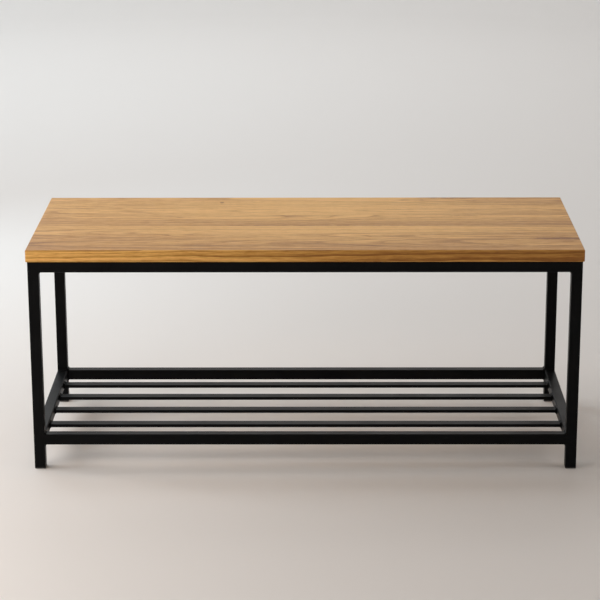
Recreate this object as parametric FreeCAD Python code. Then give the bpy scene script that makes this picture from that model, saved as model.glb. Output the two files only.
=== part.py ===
import FreeCAD, Part
import math
import os

# Entryway bench: a solid oak seat board on a welded frame of square steel tube, with a low shelf of
# flat bars.
# Millimetres. X runs along the bench, Y from front to back, Z up.
# The origin is on the floor, under the middle of the seat board.

# Seat board
BOARD_LENGTH = 1000.0
BOARD_DEPTH = 405.0
BOARD_THICKNESS = 22.0
BOARD_EDGE_RADIUS = 1.5
SEAT_HEIGHT = 416.0
STAVES_FROM_FRONT = (
    ("seat_stave_front", 84.0),
    ("seat_stave_front_inner", 95.0),
    ("seat_stave_middle", 82.0),
    ("seat_stave_back_inner", 80.0),
    ("seat_stave_back", 64.0),
)

# Frame of square tube
OVERHANG = 2.5
TUBE = 20.0
TUBE_WALL = 2.0
TUBE_RADIUS = 2.0
TUBE_INNER_RADIUS = 0.8
SHELF_RAIL_UNDERSIDE = 46.5

# Flat shelf bars, level with the middle of the side rails, by the distance of each centre line from the
# front face of the frame
BAR_WIDTH = 20.0
BAR_THICKNESS = 6.0
BAR_EDGE_RADIUS = 0.8
BAR_CENTRES_FROM_FRONT = (86.0, 167.0, 244.0, 317.0)

# Inside fillet welds where a rail meets a leg and where a shelf bar meets a rail
WELD_LEG = 3.0
WELD_CROWN = 1.7

# Tabs that hold the seat board
TAB_LENGTH = 40.0
TAB_REACH = 24.0
TAB_THICKNESS = 3.0
TAB_CORNER_RADIUS = 5.0
TAB_POSITIONS = (("left", -380.0), ("middle", 0.0), ("right", 380.0))
TAB_WELD_LENGTH = 30.0
SLOT_WIDTH = 5.0
SLOT_LENGTH = 9.0
SLOT_FROM_RAIL = 13.0

# Screws and washers under the tabs
WASHER_DIAMETER = 12.0
WASHER_HOLE = 5.0
WASHER_THICKNESS = 1.0
SCREW_HEAD_DIAMETER = 9.0
SCREW_HEAD_HEIGHT = 3.2
SCREW_HEAD_RADIUS = 1.6
SCREW_CROSS_LENGTH = 4.6
SCREW_CROSS_WIDTH = 1.1
SCREW_CROSS_DEPTH = 1.8
SCREW_CORE_RADIUS = 1.6
SCREW_THREAD_RADIUS = 2.2
SCREW_THREAD_PITCH = 2.0
SCREW_THREAD_START = 4.0
SCREW_THREADS = 7
SCREW_TIP = 3.0
PILOT_RADIUS = 2.3
PILOT_DEPTH = 18.5

# Plastic insert in the foot of each leg
GLIDE_HEAD = 3.0
GLIDE_EDGE_RADIUS = 1.0
GLIDE_CORE = 10.0
GLIDE_CORE_HEIGHT = 20.0
GLIDE_FIN = 15.6
GLIDE_FIN_THICKNESS = 1.4
GLIDE_FIN_HEIGHTS = (3.0, 8.0, 13.0)

# Worked out
FRAME_TOP = SEAT_HEIGHT - BOARD_THICKNESS
FRAME_X = BOARD_LENGTH / 2 - OVERHANG
FRAME_Y = BOARD_DEPTH / 2 - OVERHANG
INNER_X = FRAME_X - TUBE
INNER_Y = FRAME_Y - TUBE
TOP_RAIL_UNDERSIDE = FRAME_TOP - TUBE
SHELF_RAIL_TOP = SHELF_RAIL_UNDERSIDE + TUBE
BAR_UNDERSIDE = SHELF_RAIL_UNDERSIDE + (TUBE - BAR_THICKNESS) / 2
BAR_TOP = BAR_UNDERSIDE + BAR_THICKNESS
FILLET_EDGES = ((TOP_RAIL_UNDERSIDE, -1), (SHELF_RAIL_UNDERSIDE, -1), (SHELF_RAIL_TOP, 1))
SIDES = (("left", -1), ("right", 1))
ENDS = (("front", -1), ("back", 1))

X_AXIS = FreeCAD.Vector(1, 0, 0)
Y_AXIS = FreeCAD.Vector(0, 1, 0)
Z_AXIS = FreeCAD.Vector(0, 0, 1)


def point(x, y, z):
    return FreeCAD.Vector(x, y, z)


def box(x_range, y_range, z_range):
    """A box between two values on each axis, given in either order."""
    low = [min(pair) for pair in (x_range, y_range, z_range)]
    size = [abs(pair[1] - pair[0]) for pair in (x_range, y_range, z_range)]
    return Part.makeBox(size[0], size[1], size[2], point(low[0], low[1], low[2]))


def rounded_bar(side, radius, length):
    """A square bar along Z with rounded long edges, centred on the Z axis and standing on Z = 0."""
    half = side / 2
    bar = Part.makeBox(side, side, length, point(-half, -half, 0))
    upright = [e for e in bar.Edges if abs(e.Vertexes[0].Z - e.Vertexes[1].Z) > length / 2]
    return bar.makeFillet(radius, upright)


def square_tube(length):
    """A length of the frame's square tube along Z, standing on Z = 0."""
    bore = rounded_bar(TUBE - 2 * TUBE_WALL, TUBE_INNER_RADIUS, length)
    return rounded_bar(TUBE, TUBE_RADIUS, length).cut(bore)


def tube_along_x(y_centre, z_centre):
    """A rail between the legs of the front or the back."""
    tube = square_tube(2 * INNER_X)
    tube.rotate(point(0, 0, 0), Y_AXIS, 90)
    tube.translate(point(-INNER_X, y_centre, z_centre))
    return tube


def tube_along_y(x_centre, z_centre):
    """A rail between the legs of one side."""
    tube = square_tube(2 * INNER_Y)
    tube.rotate(point(0, 0, 0), X_AXIS, -90)
    tube.translate(point(x_centre, -INNER_Y, z_centre))
    return tube


def leg(side, end):
    """A leg, from the plastic insert's head to the underside of the seat board."""
    tube = square_tube(FRAME_TOP - GLIDE_HEAD)
    tube.translate(point(side * (FRAME_X - TUBE / 2), end * (FRAME_Y - TUBE / 2), GLIDE_HEAD))
    return tube


def glide(side, end):
    """The insert: a square head that the leg stands on, and a finned plug inside the tube."""
    head = rounded_bar(TUBE, TUBE_RADIUS, GLIDE_HEAD)
    foot_edges = [e for e in head.Edges if max(v.Z for v in e.Vertexes) < GLIDE_HEAD / 2]
    head = head.makeFillet(GLIDE_EDGE_RADIUS, foot_edges)
    core = rounded_bar(GLIDE_CORE, TUBE_INNER_RADIUS, GLIDE_CORE_HEIGHT)
    core.translate(point(0, 0, GLIDE_HEAD))
    body = head.fuse(core)
    for height in GLIDE_FIN_HEIGHTS:
        fin = rounded_bar(GLIDE_FIN, TUBE_INNER_RADIUS, GLIDE_FIN_THICKNESS)
        fin.translate(point(0, 0, GLIDE_HEAD + height))
        body = body.fuse(fin)
    body = body.removeSplitter()
    body.translate(point(side * (FRAME_X - TUBE / 2), end * (FRAME_Y - TUBE / 2), 0))
    return body


def fillet_bead(corner, a, b, run):
    """A straight fillet weld with a crowned face, in the corner between directions a and b.

    It is as long as run, and follows it.
    """
    foot_a = corner + a * WELD_LEG
    foot_b = corner + b * WELD_LEG
    middle = corner + (a + b) * WELD_CROWN
    edges = [
        Part.LineSegment(corner, foot_a).toShape(),
        Part.Arc(foot_a, middle, foot_b).toShape(),
        Part.LineSegment(foot_b, corner).toShape(),
    ]
    return Part.Face(Part.Wire(edges)).extrude(run)


def flush_welds(side, end, underside):
    """The weld metal beside the rails' ends at one leg, ground flush.

    The leg's rounded corners leave three upright grooves there: one on each outer face and one inside
    the frame.
    """
    leg_x = side * FRAME_X
    leg_y = end * FRAME_Y
    inner_x = side * INNER_X
    inner_y = end * INNER_Y
    groove_x = inner_x + side * TUBE_RADIUS
    groove_y = inner_y + end * TUBE_RADIUS
    solid_leg = rounded_bar(TUBE, TUBE_RADIUS, FRAME_TOP)
    solid_leg.translate(point(side * (FRAME_X - TUBE / 2), end * (FRAME_Y - TUBE / 2), 0))
    grooves = (
        ((inner_x, groove_x), (leg_y, leg_y - end * TUBE_RADIUS)),
        ((leg_x, leg_x - side * TUBE_RADIUS), (inner_y, groove_y)),
        ((inner_x, groove_x), (inner_y, groove_y)),
    )
    heights = (underside, underside + TUBE)
    return [box(xs, ys, heights).cut(solid_leg) for xs, ys in grooves]


def fillet_welds(side, end, edges):
    """The fillets in the inside corners between one leg and its rails.

    There is one on each rail at each (height, direction) in edges.
    """
    inner_x = side * INNER_X
    inner_y = end * INNER_Y
    groove_x = inner_x + side * TUBE_RADIUS
    groove_y = inner_y + end * TUBE_RADIUS
    flat_width = TUBE - 2 * TUBE_RADIUS
    welds = []
    for height, up in edges:
        corner = point(inner_x, groove_y, height)
        run = Y_AXIS * (end * flat_width)
        welds.append(fillet_bead(corner, X_AXIS * -side, Z_AXIS * up, run))
        corner = point(groove_x, inner_y, height)
        run = X_AXIS * (side * flat_width)
        welds.append(fillet_bead(corner, Y_AXIS * -end, Z_AXIS * up, run))
    return welds


def shelf_bar(y_centre):
    """A flat bar from one side rail to the other."""
    half = BAR_WIDTH / 2
    bar = box((-INNER_X, INNER_X), (y_centre - half, y_centre + half), (BAR_UNDERSIDE, BAR_TOP))
    long_edges = [e for e in bar.Edges if abs(e.Vertexes[0].X - e.Vertexes[1].X) > INNER_X]
    return bar.makeFillet(BAR_EDGE_RADIUS, long_edges)


def bar_welds(side, y_centre):
    """The fillets above and below a bar's end, against the side rail."""
    length = BAR_WIDTH - 2 * BAR_EDGE_RADIUS
    welds = []
    for height, up in ((BAR_UNDERSIDE, -1), (BAR_TOP, 1)):
        corner = point(side * INNER_X, y_centre - length / 2, height)
        welds.append(fillet_bead(corner, X_AXIS * -side, Z_AXIS * up, Y_AXIS * length))
    return welds


def screw_place(x_centre, end):
    """The centre line of a tab's slot, at the underside of the seat board."""
    return point(x_centre, end * (INNER_Y - SLOT_FROM_RAIL), FRAME_TOP)


def tab(x_centre, end):
    """A flat steel tab inside the top frame, with a slot that runs across the seat board's grain."""
    bottom = FRAME_TOP - TAB_THICKNESS
    free_end = end * (INNER_Y - TAB_REACH)
    heights = (bottom, FRAME_TOP)
    plate_x = (x_centre - TAB_LENGTH / 2, x_centre + TAB_LENGTH / 2)
    plate = box(plate_x, (end * INNER_Y, free_end), heights)
    upright = [e for e in plate.Edges if abs(e.Vertexes[0].Z - e.Vertexes[1].Z) > TAB_THICKNESS / 2]
    corners = [e for e in upright if abs(e.Vertexes[0].Y - free_end) < TAB_REACH / 2]
    plate = plate.makeFillet(TAB_CORNER_RADIUS, corners)
    centre = screw_place(x_centre, end)
    offset = (SLOT_LENGTH - SLOT_WIDTH) / 2
    half = SLOT_WIDTH / 2
    slot = box((x_centre - half, x_centre + half), (centre.y - offset, centre.y + offset), heights)
    for shift in (-offset, offset):
        start = point(x_centre, centre.y + shift, bottom)
        slot = slot.fuse(Part.makeCylinder(half, TAB_THICKNESS, start, Z_AXIS))
    return plate.cut(slot)


def tab_weld(x_centre, end):
    """The fillet under a tab, against the rail."""
    corner = point(x_centre - TAB_WELD_LENGTH / 2, end * INNER_Y, FRAME_TOP - TAB_THICKNESS)
    return fillet_bead(corner, Y_AXIS * -end, Z_AXIS * -1, X_AXIS * TAB_WELD_LENGTH)


def washer(centre):
    bottom = centre - Z_AXIS * (TAB_THICKNESS + WASHER_THICKNESS)
    disc = Part.makeCylinder(WASHER_DIAMETER / 2, WASHER_THICKNESS, bottom, Z_AXIS)
    return disc.cut(Part.makeCylinder(WASHER_HOLE / 2, WASHER_THICKNESS, bottom, Z_AXIS))


def screw(centre):
    """A pan-head wood screw: a crowned head with a cross recess, a plain neck, ridged thread and a point."""
    seat = centre - Z_AXIS * (TAB_THICKNESS + WASHER_THICKNESS)
    head = Part.makeCylinder(SCREW_HEAD_DIAMETER / 2, SCREW_HEAD_HEIGHT, seat, Z_AXIS * -1)
    low_edges = [e for e in head.Edges if max(v.Z for v in e.Vertexes) < seat.z - SCREW_HEAD_HEIGHT / 2]
    head = head.makeFillet(SCREW_HEAD_RADIUS, low_edges)
    recess_z = (seat.z - SCREW_HEAD_HEIGHT, seat.z - SCREW_HEAD_HEIGHT + SCREW_CROSS_DEPTH)
    long_half = SCREW_CROSS_LENGTH / 2
    thin_half = SCREW_CROSS_WIDTH / 2
    for half_x, half_y in ((long_half, thin_half), (thin_half, long_half)):
        xs = (seat.x - half_x, seat.x + half_x)
        ys = (seat.y - half_y, seat.y + half_y)
        head = head.cut(box(xs, ys, recess_z))
    thread_end = SCREW_THREAD_START + SCREW_THREADS * SCREW_THREAD_PITCH
    outline = [(0, 0), (SCREW_CORE_RADIUS, 0), (SCREW_CORE_RADIUS, SCREW_THREAD_START)]
    for turn in range(SCREW_THREADS):
        base = SCREW_THREAD_START + turn * SCREW_THREAD_PITCH
        outline.append((SCREW_THREAD_RADIUS, base + SCREW_THREAD_PITCH / 2))
        outline.append((SCREW_CORE_RADIUS, base + SCREW_THREAD_PITCH))
    outline.append((0, thread_end + SCREW_TIP))
    corners = [seat + X_AXIS * radius + Z_AXIS * height for radius, height in outline]
    shank = Part.Face(Part.makePolygon(corners + corners[:1])).revolve(seat, Z_AXIS, 360)
    return head.fuse(shank)


def seat_board():
    """The whole seat board with eased edges and the screws' pilot holes, before it is divided into staves."""
    half_x = BOARD_LENGTH / 2
    half_y = BOARD_DEPTH / 2
    board = box((-half_x, half_x), (-half_y, half_y), (FRAME_TOP, SEAT_HEIGHT))
    board = board.makeFillet(BOARD_EDGE_RADIUS, board.Edges)
    for _, end in ENDS:
        for _, x_centre in TAB_POSITIONS:
            start = screw_place(x_centre, end)
            board = board.cut(Part.makeCylinder(PILOT_RADIUS, PILOT_DEPTH, start, Z_AXIS))
    return board


def staves():
    """The seat board's staves, front to back, glued edge to edge."""
    board = seat_board()
    half_x = BOARD_LENGTH / 2
    front = -BOARD_DEPTH / 2
    pieces = {}
    for name, width in STAVES_FROM_FRONT:
        slab = box((-half_x, half_x), (front, front + width), (FRAME_TOP, SEAT_HEIGHT))
        pieces[name] = board.common(slab)
        front += width
    return pieces


def group(shapes):
    """Several separate solids in one node."""
    return Part.makeCompound([solid for shape in shapes for solid in shape.Solids])


def build():
    nodes = staves()
    rail_heights = (("top", TOP_RAIL_UNDERSIDE + TUBE / 2), ("shelf", SHELF_RAIL_UNDERSIDE + TUBE / 2))
    for end_name, end in ENDS:
        for side_name, side in SIDES:
            corner = end_name + "_" + side_name
            nodes["leg_" + corner] = leg(side, end)
            nodes["foot_glide_" + corner] = glide(side, end)
            ground = [flush_welds(side, end, height) for height in (TOP_RAIL_UNDERSIDE, SHELF_RAIL_UNDERSIDE)]
            nodes["flush_welds_" + corner] = group(ground[0] + ground[1])
            nodes["fillet_welds_" + corner] = group(fillet_welds(side, end, FILLET_EDGES))
        for level, height in rail_heights:
            nodes[level + "_rail_" + end_name] = tube_along_x(end * (FRAME_Y - TUBE / 2), height)
        for place, x_centre in TAB_POSITIONS:
            nodes["mounting_tab_" + end_name + "_" + place] = tab(x_centre, end)
    bar_centres = [distance - FRAME_Y for distance in BAR_CENTRES_FROM_FRONT]
    for number, y_centre in enumerate(bar_centres, 1):
        nodes["shelf_bar_%d" % number] = shelf_bar(y_centre)
    for side_name, side in SIDES:
        for level, height in rail_heights:
            nodes[level + "_rail_" + side_name] = tube_along_y(side * (FRAME_X - TUBE / 2), height)
        pairs = [bar_welds(side, y_centre) for y_centre in bar_centres]
        nodes["bar_welds_" + side_name] = group([weld for pair in pairs for weld in pair])
    places = [(x_centre, end) for _, end in ENDS for _, x_centre in TAB_POSITIONS]
    nodes["tab_welds"] = group([tab_weld(x_centre, end) for x_centre, end in places])
    nodes["seat_washers"] = group([washer(screw_place(x_centre, end)) for x_centre, end in places])
    nodes["seat_screws"] = group([screw(screw_place(x_centre, end)) for x_centre, end in places])
    return nodes


def main():
    os.makedirs("parts", exist_ok=True)
    nodes = build()
    for name, shape in nodes.items():
        if not shape.isValid():
            raise ValueError(name + " is not a valid shape")
        shape.exportStep(os.path.join("parts", name + ".step"))
        volume = sum(solid.Volume for solid in shape.Solids)
        print("%-28s %2d solids %12.1f mm3" % (name, len(shape.Solids), volume))
    print(len(nodes), "nodes")


main()
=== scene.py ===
import math
from collections import namedtuple

import bmesh
import bpy
from mathutils import Matrix, Vector, noise


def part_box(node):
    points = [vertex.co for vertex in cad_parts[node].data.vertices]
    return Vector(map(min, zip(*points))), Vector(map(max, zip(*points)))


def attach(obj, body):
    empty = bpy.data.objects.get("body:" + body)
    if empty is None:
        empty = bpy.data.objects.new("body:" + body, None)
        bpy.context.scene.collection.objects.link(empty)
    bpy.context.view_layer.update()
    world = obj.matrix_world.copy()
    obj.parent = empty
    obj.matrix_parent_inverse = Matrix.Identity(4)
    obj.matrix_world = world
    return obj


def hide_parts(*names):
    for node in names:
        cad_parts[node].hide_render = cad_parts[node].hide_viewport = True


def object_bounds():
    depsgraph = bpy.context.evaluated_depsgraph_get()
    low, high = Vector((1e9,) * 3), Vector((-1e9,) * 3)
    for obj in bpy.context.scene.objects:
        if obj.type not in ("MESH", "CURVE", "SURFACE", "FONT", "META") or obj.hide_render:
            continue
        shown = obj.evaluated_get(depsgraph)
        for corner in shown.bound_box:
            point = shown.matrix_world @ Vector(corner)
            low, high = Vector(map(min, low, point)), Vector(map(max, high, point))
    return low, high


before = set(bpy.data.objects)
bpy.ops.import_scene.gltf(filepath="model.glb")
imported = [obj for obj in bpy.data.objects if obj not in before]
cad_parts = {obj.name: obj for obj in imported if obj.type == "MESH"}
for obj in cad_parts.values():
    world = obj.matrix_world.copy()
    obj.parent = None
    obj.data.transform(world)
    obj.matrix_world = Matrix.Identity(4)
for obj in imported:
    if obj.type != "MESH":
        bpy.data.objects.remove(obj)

# Looks for the entryway bench: oiled oak staves on a satin black powder-coated frame.
# Metres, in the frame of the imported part: X along the bench, Y from front to back, Z up from the floor.

CAD_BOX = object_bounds()
BODY = "root"
SIDES = (("left", -1), ("right", 1))
ENDS = (("front", -1), ("back", 1))
SEAT_TOP = CAD_BOX[1].z


# ---------------------------------------------------------------- camera

CAMERA_DISTANCE = 3.8904
CAMERA_SIDE = 0.0186
CAMERA_HEIGHT = 1.3929
CAMERA_TURN = 0.0074
CAMERA_PITCH_DOWN = 0.2822
CAMERA_ROLL = -0.0028
CAMERA_LENS = 128.3
CAMERA_SENSOR = 36.0


def link(name, data):
    piece = bpy.data.objects.new(name, data)
    bpy.context.scene.collection.objects.link(piece)
    return piece


def add_camera():
    data = bpy.data.cameras.new("view_camera")
    data.lens = CAMERA_LENS
    data.sensor_width = CAMERA_SENSOR
    camera = link("view_camera", data)
    place = Matrix.Translation((CAMERA_SIDE, -CAMERA_DISTANCE, CAMERA_HEIGHT))
    turn = Matrix.Rotation(CAMERA_TURN, 4, "Z")
    pitch = Matrix.Rotation(math.pi / 2 - CAMERA_PITCH_DOWN, 4, "X")
    roll = Matrix.Rotation(CAMERA_ROLL, 4, "Z")
    camera.matrix_world = place @ turn @ pitch @ roll
    bpy.context.scene.camera = camera


# ---------------------------------------------------------------- studio

FLOOR_RADIUS = 5.2
SWEEP_RADIUS = 1.5
SWEEP_STEPS = 16
WALL_TOP = 4.5
STUDIO_SIDES = 96
PAPER_COLOUR = (0.76, 0.74, 0.72, 1.0)
PAPER_ROUGHNESS = 0.9
PAPER_SPECULAR = 0.2

SOFT_WHITE = (1.0, 0.95, 0.92)
WARM_WHITE = (1.0, 0.87, 0.77)
COOL_WHITE = (0.75, 0.90, 1.0)
NEUTRAL = (1.0, 1.0, 1.0)
BENCH = (0.0, 0.0, 0.2)
LEFT_END = (-0.3, 0.0, 0.3)

# Each soft light: name, place, point it faces, width, height, power in watts and colour.
LIGHTS = (
    ("back_light", (0.0, 4.9, 4.0), BENCH, 4.0, 4.0, 80.0, SOFT_WHITE),
    ("back_left_light", (-4.2, 2.4, 4.0), BENCH, 4.0, 4.0, 95.0, SOFT_WHITE),
    ("right_light", (3.9, -0.7, 2.5), BENCH, 3.0, 3.0, 40.0, WARM_WHITE),
    ("front_wall_light", (0.0, -3.4, 3.8), (0.0, -6.6, 0.8), 4.0, 1.0, 50.0, NEUTRAL),
    ("wall_light", (-2.5, 2.5, 3.6), (-1.0, 6.6, 1.0), 2.0, 1.0, 85.0, COOL_WHITE),
    ("left_light", (-2.4, 0.0, 1.3), LEFT_END, 1.2, 1.2, 30.0, NEUTRAL),
    ("left_back_light", (-1.2, 1.4, 0.9), LEFT_END, 0.8, 0.6, 5.0, COOL_WHITE),
    ("left_front_light", (-1.4, -1.2, 0.8), LEFT_END, 0.8, 0.8, 10.0, WARM_WHITE),
)
AIR_COLOUR = (1.0, 0.94, 0.88, 1.0)
AIR_STRENGTH = 0.08


def add_studio():
    """A round pale floor that curves up into a wall, so that every view has the same plain backdrop."""
    profile = [(0.0, 0.0), (FLOOR_RADIUS, 0.0)]
    for step in range(1, SWEEP_STEPS + 1):
        angle = math.pi / 2 * step / SWEEP_STEPS
        radius = FLOOR_RADIUS + SWEEP_RADIUS * math.sin(angle)
        profile.append((radius, SWEEP_RADIUS * (1 - math.cos(angle))))
    profile.append((FLOOR_RADIUS + SWEEP_RADIUS, WALL_TOP))
    studio = bmesh.new()
    outline = [studio.verts.new((radius, 0.0, height)) for radius, height in profile]
    edges = [studio.edges.new(pair) for pair in zip(outline, outline[1:])]
    bmesh.ops.spin(
        studio, geom=outline + edges, cent=(0, 0, 0), axis=(0, 0, 1), angle=2 * math.pi, steps=STUDIO_SIDES
    )
    bmesh.ops.remove_doubles(studio, verts=studio.verts, dist=0.0001)
    mesh = bpy.data.meshes.new("studio")
    studio.to_mesh(mesh)
    studio.free()
    mesh.shade_smooth()
    paper = bpy.data.materials.new("studio_paper")
    paper.use_nodes = True
    shader = paper.node_tree.nodes["Principled BSDF"]
    shader.inputs["Base Color"].default_value = PAPER_COLOUR
    shader.inputs["Roughness"].default_value = PAPER_ROUGHNESS
    shader.inputs["Specular IOR Level"].default_value = PAPER_SPECULAR
    mesh.materials.append(paper)
    link("studio", mesh)


def add_light(name, place, target, width, height, power, colour):
    data = bpy.data.lights.new(name, "AREA")
    data.shape = "RECTANGLE"
    data.size = width
    data.size_y = height
    data.energy = power
    data.color = colour
    light = link(name, data)
    light.location = place
    light.rotation_euler = (Vector(target) - Vector(place)).to_track_quat("-Z", "Y").to_euler()
    light.visible_camera = False


def add_air():
    world = bpy.data.worlds.new("studio_air")
    world.use_nodes = True
    background = world.node_tree.nodes["Background"]
    background.inputs["Color"].default_value = AIR_COLOUR
    background.inputs["Strength"].default_value = AIR_STRENGTH
    bpy.context.scene.world = world
    bpy.context.scene.view_settings.view_transform = "Standard"


# ---------------------------------------------------------------- shader nodes


class Graph:
    """One material's shader nodes, with short ways to add the kinds used here."""

    def __init__(self, name):
        self.material = bpy.data.materials.new(name)
        self.material.use_nodes = True
        self.tree = self.material.node_tree
        self.shader = self.tree.nodes["Principled BSDF"]
        self.coordinates = self.tree.nodes.new("ShaderNodeTexCoord")
        self.place = self.coordinates.outputs["Object"]

    def node(self, kind, values=(), **settings):
        """A new node. values are (input, number or socket) pairs."""
        made = self.tree.nodes.new(kind)
        for key, value in settings.items():
            setattr(made, key, value)
        for key, value in values:
            self.feed(made.inputs[key], value)
        return made

    def feed(self, socket, value):
        if isinstance(value, bpy.types.NodeSocket):
            self.tree.links.new(value, socket)
        else:
            socket.default_value = value

    def math(self, operation, *values, clamp=False):
        made = self.node("ShaderNodeMath", enumerate(values), operation=operation, use_clamp=clamp)
        return made.outputs[0]

    def vector(self, operation, *values):
        return self.node("ShaderNodeVectorMath", enumerate(values), operation=operation).outputs[0]

    def stretched(self, place, scale, shift=0.0):
        """place times scale on each axis, plus shift on all three."""
        values = ((0, place), (1, scale), (2, (shift, shift, shift)))
        return self.node("ShaderNodeVectorMath", values, operation="MULTIPLY_ADD").outputs[0]

    def noise(self, place, detail=2.0, roughness=0.5, output="Fac"):
        values = (("Vector", place), ("Scale", 1.0), ("Detail", detail), ("Roughness", roughness))
        return self.node("ShaderNodeTexNoise", values).outputs[output]

    def swing(self, base, value, middle, depth):
        """base, raised or lowered by depth times how far value is from middle."""
        return self.math("MULTIPLY_ADD", self.math("SUBTRACT", value, middle), depth, base)

    def band(self, value, low, high, to_low=0.0, to_high=1.0):
        """A smooth step: to_low below low, to_high above high."""
        ends = (("From Min", low), ("From Max", high), ("To Min", to_low), ("To Max", to_high))
        values = (("Value", value), *ends)
        return self.node("ShaderNodeMapRange", values, interpolation_type="SMOOTHSTEP").outputs["Result"]

    def split(self, vector):
        return self.node("ShaderNodeSeparateXYZ", (("Vector", vector),)).outputs

    def join(self, x, y, z):
        return self.node("ShaderNodeCombineXYZ", (("X", x), ("Y", y), ("Z", z))).outputs[0]

    def ramp(self, factor, stops):
        """A colour ramp. stops are (position, colour) pairs."""
        made = self.node("ShaderNodeValToRGB", (("Fac", factor),))
        elements = made.color_ramp.elements
        while len(elements) < len(stops):
            elements.new(0.5)
        for element, (position, colour) in zip(elements, stops):
            element.position = position
            element.color = (*colour, 1.0)
        return made.outputs["Color"]

    def tinted(self, colour, tint, factor):
        """colour multiplied by tint, as far as factor says."""
        values = (("Factor", factor), ("A", colour), ("B", (*tint, 1.0)))
        made = self.tree.nodes.new("ShaderNodeMix")
        made.data_type = "RGBA"
        made.blend_type = "MULTIPLY"
        sockets = {"Factor": made.inputs[0], "A": made.inputs[6], "B": made.inputs[7]}
        for key, value in values:
            self.feed(sockets[key], value)
        return made.outputs[2]

    def bump(self, height, distance, strength=1.0, under=None):
        values = [("Height", height), ("Distance", distance), ("Strength", strength)]
        if under is not None:
            values.append(("Normal", under))
        return self.node("ShaderNodeBump", values).outputs["Normal"]


# ---------------------------------------------------------------- oak

# How each stave was sawn. pith is the tree's centre line, as (Y, Z) from the middle of the stave's top face,
# and lean is how far that line drifts in Y and Z per metre along X. The tones are the darkness at the left
# end, at the middle X and at the right end: each stave's own tone, with a painted sheen that lightens the
# middle and painted shade that darkens the right end. slope is how much darker the stave's front edge is
# than its back edge.
Stave = namedtuple("Stave", "node pith lean ring_width seed tones slope")
# The X where the painted sheen on the staves is strongest, and where the middle tone applies.
TONE_AND_SHEEN_MIDDLE_X = 0.07
STAVES = (
    Stave("seat_stave_front", (0.012, -0.070), (0.020, 0.030), 0.0050, 3.7, (0.60, 0.42, 0.52), 0.10),
    Stave(
        "seat_stave_front_inner", (-0.022, -0.048), (-0.030, 0.022), 0.0034, 11.2, (0.48, 0.12, 0.40), 0.26
    ),
    Stave("seat_stave_middle", (0.030, -0.060), (0.026, -0.018), 0.0036, 23.9, (0.52, 0.40, 0.60), 0.26),
    Stave("seat_stave_back_inner", (-0.008, -0.042), (0.018, 0.026), 0.0038, 37.4, (0.34, 0.09, 0.33), 0.08),
    Stave("seat_stave_back", (0.016, -0.055), (-0.022, 0.020), 0.0033, 52.6, (0.40, 0.16, 0.46), -0.02),
)
# Dark marks in the grain: stave, X, Y from the bench's centre, half length, half width and darkness.
Mark = namedtuple("Mark", "node x y half_length half_width darkness")
MARKS = (
    Mark("seat_stave_back", -0.1645, 0.1600, 0.0050, 0.0070, 1.3),
    Mark("seat_stave_back", 0.2730, 0.1975, 0.0650, 0.0070, 0.7),
    Mark("seat_stave_middle", 0.1000, -0.0215, 0.3200, 0.0050, 0.55),
    Mark("seat_stave_front_inner", 0.4650, -0.1200, 0.0600, 0.0080, 2.0),
    Mark("seat_stave_front", 0.4650, -0.1200, 0.0600, 0.0080, 2.4),
)
OAK_LIGHT = (0.80, 0.462, 0.138)
OAK_MID = (0.52, 0.260, 0.057)
OAK_DARK = (0.27, 0.108, 0.022)
OAK_PORE = (0.42, 0.30, 0.22)
OAK_RAY = (0.72, 0.60, 0.50)
OAK_END_TINT = (0.62, 0.52, 0.44)
OAK_SPECULAR = 0.20
# Along the front edge the colour turns from pale to dark between these X, with these changes in darkness:
# partly the wood's own paler left end, partly painted light that is bright at the left and painted shade
# towards the right.
FRONT_TURN = (-0.5, 0.25)
FRONT_TONES_AND_LIGHT = (-0.35, 0.25)

# How finely each kind of grain varies, per metre along X, Y and Z.
SWAY_SCALE = (1.6, 7.0, 7.0)
RIPPLE_SCALE = (9.0, 40.0, 40.0)
BROAD_SCALE = (1.4, 20.0, 20.0)
STREAK_SCALE = (1.7, 120.0, 120.0)
FIBRE_SCALE = (34.0, 380.0, 380.0)
HAIR_SCALE = (70.0, 1900.0, 1900.0)
BREAK_SCALE = (60.0, 200.0, 200.0)
# The same for the rays, along X, round the pith and outward from it.
RAY_SCALE = (55.0, 120.0, 30.0)
# How far the rings are bent, in metres.
SWAY = 0.022
RIPPLE = 0.0036
# How much each kind of grain changes the darkness.
BROAD_DEPTH = 0.75
STREAK_DEPTH = 0.85
RING_DEPTH = 0.26
FRONT_RING_DEPTH = 0.22
YEAR_DEPTH = 0.18
FIBRE_DEPTH = 1.0


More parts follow.
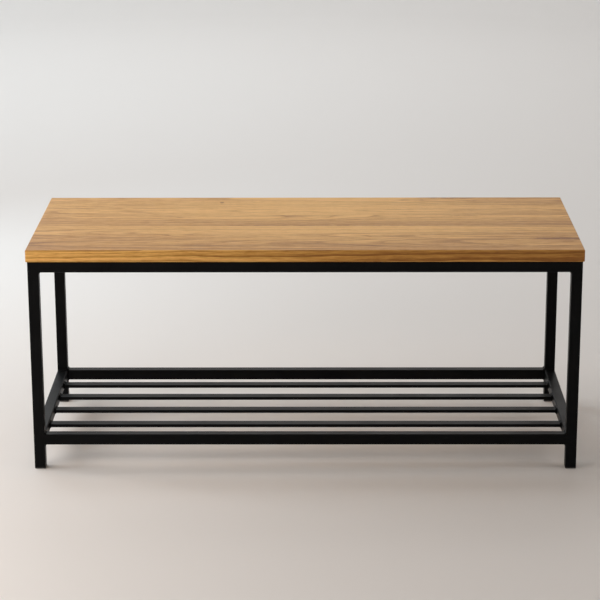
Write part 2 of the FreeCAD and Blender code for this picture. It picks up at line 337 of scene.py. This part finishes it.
def oak_material(stave):
    """Solid oak: growth rings round the pith, cut by the stave's faces, with pores, rays and fibre, and a
    painted sheen and painted shade along the stave and on its front face.
    """
    graph = Graph("oak_" + stave.node)
    low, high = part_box(stave.node)
    middle_y = (low.y + high.y) / 2
    x, y, z = graph.split(graph.place)[:3]

    # Slow waves bend the rings along the stave.
    slow = graph.noise(graph.stretched(graph.place, SWAY_SCALE, stave.seed), 3.0, 0.55, "Color")
    sway = graph.stretched(slow, (0.0, SWAY, SWAY), -SWAY / 2)
    ripple = graph.noise(graph.stretched(graph.place, RIPPLE_SCALE, stave.seed * 2), 2.0, 0.5, "Color")
    tremble = graph.stretched(ripple, (0.0, RIPPLE, RIPPLE), -RIPPLE / 2)
    bent = graph.vector("ADD", graph.vector("ADD", graph.place, sway), tremble)
    bent_y, bent_z = graph.split(bent)[1:3]
    drift_y = graph.math("MULTIPLY_ADD", x, -stave.lean[0], -(middle_y + stave.pith[0]))
    drift_z = graph.math("MULTIPLY_ADD", x, -stave.lean[1], -(SEAT_TOP + stave.pith[1]))
    across = graph.math("ADD", bent_y, drift_y)
    upward = graph.math("ADD", bent_z, drift_z)
    radius = graph.node("ShaderNodeVectorMath", ((0, graph.join(0.0, across, upward)),), operation="LENGTH")
    rings = graph.math("DIVIDE", radius.outputs["Value"], stave.ring_width)
    growth = graph.noise(graph.join(0.0, graph.math("MULTIPLY", rings, 0.45), stave.seed), 1.0, 0.5)
    rings = graph.math("MULTIPLY_ADD", growth, 2.2, rings)
    share = graph.math("FRACT", rings)
    early = graph.math("MAXIMUM", graph.band(share, 0.0, 0.45, 1.0, 0.0), graph.band(share, 0.93, 1.0))
    year = graph.node("ShaderNodeTexWhiteNoise", (("W", graph.math("FLOOR", rings)),), noise_dimensions="1D")

    # Fibre along the grain, from broad streaks to single hairs.
    broad = graph.noise(graph.stretched(graph.place, BROAD_SCALE, stave.seed + 7.0), 2.0, 0.6)
    streak = graph.noise(graph.stretched(bent, STREAK_SCALE, stave.seed), 3.0, 0.65)
    fibre = graph.noise(graph.stretched(graph.place, FIBRE_SCALE, stave.seed), 3.0, 0.6)
    hair = graph.noise(graph.stretched(graph.place, HAIR_SCALE, stave.seed), 2.0, 0.5)
    pores = graph.band(hair, 0.54, 0.66)
    pores = graph.math("MULTIPLY", pores, graph.math("MULTIPLY_ADD", early, 0.75, 0.25))
    turn = graph.math("ARCTAN2", across, upward)
    polar = graph.join(x, turn, radius.outputs["Value"])
    rays = graph.noise(graph.stretched(polar, RAY_SCALE, stave.seed + 5.0), 0.0)
    rays = graph.band(rays, 0.68, 0.78)

    # Darkness, from 0 for pale sapwood to 1 for the darkest grain.
    left, middle, right = stave.tones
    tone = graph.band(y, low.y, high.y, stave.slope / 2, -stave.slope / 2)
    # Along X the middle is lighter by a painted sheen and the right end darker by painted shade, over the
    # stave's own tone.
    tone = graph.math("ADD", tone, graph.band(x, CAD_BOX[0].x, TONE_AND_SHEEN_MIDDLE_X, left, middle))
    tone = graph.math("ADD", tone, graph.band(x, TONE_AND_SHEEN_MIDDLE_X, CAD_BOX[1].x, 0.0, right - middle))
    # On the front face the darkness changes along X: partly paler wood at the left end, partly painted light
    # at the left and painted shade towards the right.
    front_face = graph.band(graph.split(graph.coordinates.outputs["Normal"])[1], -0.9, -0.4, 1.0, 0.0)
    front_tone_and_light = graph.band(x, *FRONT_TURN, *FRONT_TONES_AND_LIGHT)
    tone = graph.math("MULTIPLY_ADD", front_face, front_tone_and_light, tone)
    dark = graph.swing(tone, broad, 0.5, BROAD_DEPTH)
    dark = graph.swing(dark, streak, 0.5, STREAK_DEPTH)
    ring_depth = graph.math("MULTIPLY_ADD", front_face, FRONT_RING_DEPTH, RING_DEPTH)
    dark = graph.swing(dark, early, 0.35, ring_depth)
    dark = graph.swing(dark, year.outputs["Value"], 0.5, YEAR_DEPTH)
    dark = graph.swing(dark, fibre, 0.5, FIBRE_DEPTH)

    # Marks, with edges that follow the ripple and breaks along them.
    shaky = graph.vector("ADD", graph.place, tremble)
    broken = graph.noise(graph.stretched(graph.place, BREAK_SCALE, 8.0), 1.0)
    broken = graph.band(broken, 0.35, 0.6, 0.3, 1.2)
    for mark in MARKS:
        if mark.node == stave.node:
            shrink = (1 / mark.half_length, 1 / mark.half_width, 0.0)
            centre = (-mark.x / mark.half_length, -mark.y / mark.half_width, 0.0)
            values = ((0, shaky), (1, shrink), (2, centre))
            offset = graph.node("ShaderNodeVectorMath", values, operation="MULTIPLY_ADD").outputs[0]
            reach = graph.node("ShaderNodeVectorMath", ((0, offset),), operation="LENGTH").outputs["Value"]
            spot = graph.math("MULTIPLY", graph.band(reach, 0.25, 1.15, mark.darkness, 0.0), broken)
            dark = graph.math("ADD", dark, spot)
    dark = graph.math("ADD", dark, 0.0, clamp=True)
    colour = graph.ramp(dark, ((0.0, OAK_LIGHT), (0.5, OAK_MID), (1.0, OAK_DARK)))
    colour = graph.tinted(colour, OAK_PORE, graph.math("MULTIPLY", pores, 0.6))
    colour = graph.tinted(colour, OAK_RAY, graph.math("MULTIPLY", rays, 0.5))
    facing_x = graph.math("ABSOLUTE", graph.split(graph.coordinates.outputs["Normal"])[0])
    end_grain = graph.band(facing_x, 0.5, 0.9)
    colour = graph.tinted(colour, OAK_END_TINT, end_grain)

    rough = graph.math("MULTIPLY_ADD", pores, 0.18, graph.band(fibre, 0.3, 0.7, 0.42, 0.50))
    rough = graph.math("MULTIPLY_ADD", end_grain, 0.15, rough)
    relief = graph.math("MULTIPLY_ADD", pores, -1.0, graph.math("MULTIPLY", fibre, 0.35))
    graph.feed(graph.shader.inputs["Base Color"], colour)
    graph.feed(graph.shader.inputs["Roughness"], rough)
    graph.feed(graph.shader.inputs["Normal"], graph.bump(relief, 0.00008, 0.5))
    graph.shader.inputs["Specular IOR Level"].default_value = OAK_SPECULAR
    return graph.material


# ---------------------------------------------------------------- powder coat, zinc and plastic

COAT_DARK = (0.0030, 0.0032, 0.0035)
COAT_LIGHT = (0.0048, 0.0050, 0.0054)
COAT_SPECULAR = 0.06
ZINC_DARK = (0.50, 0.50, 0.49)
ZINC_LIGHT = (0.68, 0.67, 0.62)
PLASTIC_DARK = (0.011, 0.011, 0.012)
PLASTIC_LIGHT = (0.020, 0.020, 0.021)


def powder_coat():
    """Satin black powder coat: fine orange peel over the steel, a little duller in patches."""
    graph = Graph("black_powder_coat_look")
    graph.shader.inputs["Specular IOR Level"].default_value = COAT_SPECULAR
    peel = graph.noise(graph.stretched(graph.place, (900.0, 900.0, 900.0)), 2.0, 0.55)
    wave = graph.noise(graph.stretched(graph.place, (160.0, 160.0, 160.0), 4.0), 2.0, 0.5)
    patch = graph.noise(graph.stretched(graph.place, (14.0, 14.0, 14.0), 9.0), 3.0, 0.55)
    colour = graph.ramp(patch, ((0.3, COAT_DARK), (0.7, COAT_LIGHT)))
    graph.feed(graph.shader.inputs["Base Color"], colour)
    rough = graph.swing(graph.band(patch, 0.3, 0.7, 0.34, 0.42), peel, 0.5, 0.10)
    graph.feed(graph.shader.inputs["Roughness"], rough)
    smooth = graph.bump(wave, 0.00006, 0.6)
    graph.feed(graph.shader.inputs["Normal"], graph.bump(peel, 0.00003, 0.6, smooth))
    return graph.material


def zinc_plate():
    """Bright zinc plating on the screws and washers, with a faint warm cast and fine turning marks."""
    graph = Graph("zinc_plate_look")
    grain = graph.noise(graph.stretched(graph.place, (1500.0, 1500.0, 4000.0)), 2.0, 0.6)
    cloud = graph.noise(graph.stretched(graph.place, (220.0, 220.0, 220.0)), 2.0, 0.5)
    colour = graph.ramp(cloud, ((0.3, ZINC_DARK), (0.7, ZINC_LIGHT)))
    graph.feed(graph.shader.inputs["Base Color"], colour)
    graph.shader.inputs["Metallic"].default_value = 1.0
    graph.feed(graph.shader.inputs["Roughness"], graph.band(grain, 0.3, 0.7, 0.26, 0.40))
    graph.feed(graph.shader.inputs["Normal"], graph.bump(grain, 0.00002, 0.5))
    return graph.material


def glide_plastic():
    """Moulded black polyethylene with a fine spark-eroded texture."""
    graph = Graph("glide_plastic_look")
    texture = graph.noise(graph.stretched(graph.place, (2200.0, 2200.0, 2200.0)), 2.0, 0.5)
    scuff = graph.noise(graph.stretched(graph.place, (90.0, 90.0, 90.0), 2.0), 3.0, 0.6)
    colour = graph.ramp(scuff, ((0.35, PLASTIC_DARK), (0.75, PLASTIC_LIGHT)))
    graph.feed(graph.shader.inputs["Base Color"], colour)
    graph.feed(graph.shader.inputs["Roughness"], graph.band(scuff, 0.3, 0.7, 0.48, 0.62))
    graph.feed(graph.shader.inputs["Normal"], graph.bump(texture, 0.00003, 0.6))
    return graph.material


def dress(node, material):
    """Gives a CAD node the material in every slot."""
    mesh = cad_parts[node].data
    for index in range(len(mesh.materials)):
        mesh.materials[index] = material


# ---------------------------------------------------------------- weld beads

BEAD_LIP = 0.0030
BEAD_PITCH = 0.0017
BEAD_STEPS_PER_RIPPLE = 6
BEAD_ARC_STEPS = 8
BEAD_SINK = 0.0004
BEAD_HOLLOW = 0.22
# A bead's size between puddles, the rise of each puddle, and the wander of the hand over its length.
RIPPLE_BASE = 0.93
RIPPLE_RISE = 0.10
HAND_WANDER = 0.12
HAND_LENGTH = 0.006


def ripple_size(distance, seed):
    """How large a bead is at a distance along it: overlapping puddles, with an unsteady hand."""
    phase = (distance / BEAD_PITCH + seed) % 1.0
    puddle = RIPPLE_RISE * math.sqrt(max(0.0, 1.0 - phase * phase))
    hand = HAND_WANDER * noise.noise(Vector((distance / HAND_LENGTH, seed * 3.1, 0.0)))
    return RIPPLE_BASE + puddle + hand


def bead_ring(centre, a, b, lip_a, lip_b):
    """One cross-section of a bead: an arc between two faces, flatter in the middle, and a sunk root."""
    ring = [centre - (a + b) * BEAD_SINK]
    for step in range(BEAD_ARC_STEPS + 1):
        angle = math.pi / 2 * step / BEAD_ARC_STEPS
        swell = 1 - BEAD_HOLLOW + BEAD_HOLLOW * abs(math.cos(2 * angle))
        across = a * (lip_a * math.cos(angle) * swell)
        along = b * (lip_b * math.sin(angle) * swell)
        sink = (b * math.cos(angle) ** 6 + a * math.sin(angle) ** 6) * BEAD_SINK
        ring.append(centre + across + along - sink)
    return ring


def skin(mesh, rings):
    """Joins rings of points into a closed surface, capped at its ends."""
    rows = [[mesh.verts.new(corner) for corner in ring] for ring in rings]
    for first, second in zip(rows, rows[1:]):
        for corner in range(len(first)):
            after = (corner + 1) % len(first)
            mesh.faces.new((first[corner], first[after], second[after], second[corner]))
    mesh.faces.new(rows[0][::-1])
    mesh.faces.new(rows[-1])


def straight_bead(mesh, corner, a, b, run, seed):
    """A rippled fillet along the vector run, in the corner between directions a and b."""
    length = run.length
    steps = max(4, round(length / BEAD_PITCH * BEAD_STEPS_PER_RIPPLE))
    rings = []
    for step in range(steps + 1):
        part = step / steps
        taper = min(1.0, 0.55 + 3.0 * math.sin(math.pi * part))
        lip = BEAD_LIP * ripple_size(part * length, seed) * taper
        rings.append(bead_ring(corner + run * part, a, b, lip, lip))
    skin(mesh, rings)


def finish_beads(name, mesh, node, material):
    """Turns the beads into a piece that stands for a CAD weld node."""
    bmesh.ops.recalc_face_normals(mesh, faces=mesh.faces)
    data = bpy.data.meshes.new(name)
    mesh.to_mesh(data)
    mesh.free()
    data.shade_smooth()
    data.materials.append(material)
    piece = link(name, data)
    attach(piece, BODY)
    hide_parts(node)


def add_fillet_beads(material):
    """The fillets between each leg and its rails: under all of them, and over the shelf rails."""
    x_axis, y_axis, z_axis = Vector((1, 0, 0)), Vector((0, 1, 0)), Vector((0, 0, 1))
    shelf_low, shelf_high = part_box("shelf_rail_left")
    edges = ((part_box("top_rail_left")[0].z, -1), (shelf_low.z, -1), (shelf_high.z, 1))
    margin = (shelf_high.z - shelf_low.z) / 10
    seed = 0.0
    for end_name, end in ENDS:
        for side_name, side in SIDES:
            corner_name = end_name + "_" + side_name
            low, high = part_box("leg_" + corner_name)
            inner_x = low.x if side > 0 else high.x
            inner_y = low.y if end > 0 else high.y
            flat = high.x - low.x - 2 * margin
            mesh = bmesh.new()
            for height, up in edges:
                start = Vector((inner_x, inner_y + end * margin, height))
                run = y_axis * (end * flat)
                straight_bead(mesh, start, x_axis * -side, z_axis * up, run, seed + 0.3)
                start = Vector((inner_x + side * margin, inner_y, height))
                run = x_axis * (side * flat)
                straight_bead(mesh, start, y_axis * -end, z_axis * up, run, seed + 0.8)
                seed += 1.7
            finish_beads("weld_beads_" + corner_name, mesh, "fillet_welds_" + corner_name, material)


def add_bar_beads(material):
    """The fillets over and under the shelf bars' ends, against the side rails."""
    for side_name, side in SIDES:
        mesh = bmesh.new()
        for number in (1, 2, 3, 4):
            low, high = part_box("shelf_bar_%d" % number)
            end_x = high.x if side > 0 else low.x
            inset = (high.y - low.y) / 25
            run = Vector((0, high.y - low.y - 2 * inset, 0))
            for height, up in ((low.z, -1), (high.z, 1)):
                start = Vector((end_x, low.y + inset, height))
                seed = number * 2.3 + side + up * 0.7
                straight_bead(mesh, start, Vector((-side, 0, 0)), Vector((0, 0, up)), run, seed)
        finish_beads("bar_beads_" + side_name, mesh, "bar_welds_" + side_name, material)


def add_tab_beads(material):
    """The short fillets under the mounting tabs, against the top rails."""
    mesh = bmesh.new()
    seed = 40.0
    for end_name, end in ENDS:
        for place in ("left", "middle", "right"):
            low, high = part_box("mounting_tab_%s_%s" % (end_name, place))
            inset = (high.x - low.x) / 8
            start = Vector((low.x + inset, high.y if end > 0 else low.y, low.z))
            run = Vector((high.x - low.x - 2 * inset, 0, 0))
            straight_bead(mesh, start, Vector((0, -end, 0)), Vector((0, 0, -1)), run, seed)
            seed += 1.3
    finish_beads("tab_beads", mesh, "tab_welds", material)


# ---------------------------------------------------------------- the bench


def dress_bench():
    coat = powder_coat()
    zinc = zinc_plate()
    plastic = glide_plastic()
    for stave in STAVES:
        dress(stave.node, oak_material(stave))
    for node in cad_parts:
        if node in ("seat_screws", "seat_washers"):
            dress(node, zinc)
        elif node.startswith("foot_glide"):
            dress(node, plastic)
        elif not node.startswith("seat_stave"):
            dress(node, coat)
    add_fillet_beads(coat)
    add_bar_beads(coat)
    add_tab_beads(coat)


add_camera()
add_studio()
for light in LIGHTS:
    add_light(*light)
add_air()
dress_bench()
